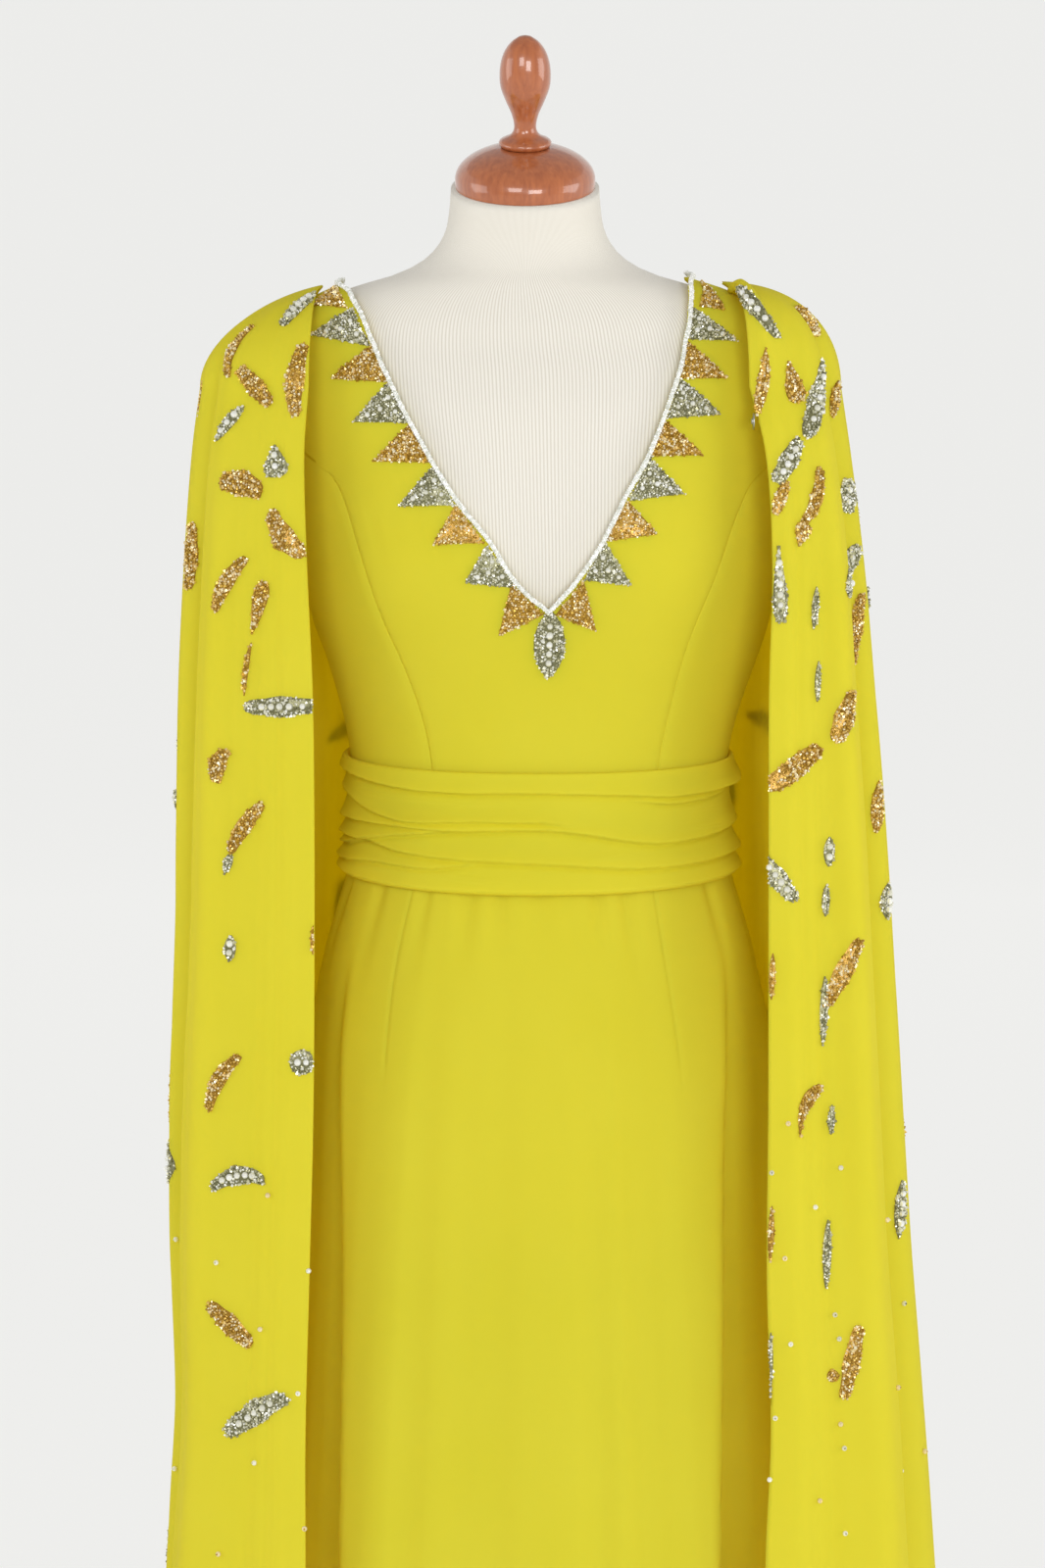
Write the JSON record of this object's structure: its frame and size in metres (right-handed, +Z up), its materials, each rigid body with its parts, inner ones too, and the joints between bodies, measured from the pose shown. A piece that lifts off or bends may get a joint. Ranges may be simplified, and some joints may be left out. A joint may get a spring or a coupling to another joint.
{
  "type": "evening dress with a long cape on a dress form",
  "caption": "Sleeveless floor-length evening dress with a V neck, pleated cummerbund and long open cape, standing on a limbless dress form with a turned cap and round base.",
  "frame": {"origin": "centre of the stand base's underside, on the floor", "axes": "+Z up, the dress faces -Y, +X to the right of someone who looks at its front"},
  "size_m": [0.6878, 0.55, 1.6952],
  "materials": {
    "crepe": "matte yellow crepe, slightly pebbled",
    "beadwork": "crystal, silver and gold glass beads, sewn on",
    "jersey": "off-white fine-ribbed stretch jersey",
    "wood": "reddish brown, turned and varnished",
    "nickel": "plated press stud"
  },
  "bodies": {
    "root": {"bodice_front_centre": "crepe", "bodice_side_front_left": "crepe", "bodice_side_front_right": "crepe", "bodice_back_left": "crepe", "bodice_back_right": "crepe", "cape_left": "crepe", "cape_right": "crepe", "neckline_cord": "beadwork", "cape_snap": "nickel", "cummerbund": "crepe", "skirt_front": "crepe", "skirt_back_left": "crepe", "skirt_back_right": "crepe", "form_torso": "jersey", "neck_cap": "wood", "finial": "wood", "stand_pole": "wood", "stand_base": "wood"}
  },
  "joints": []
}
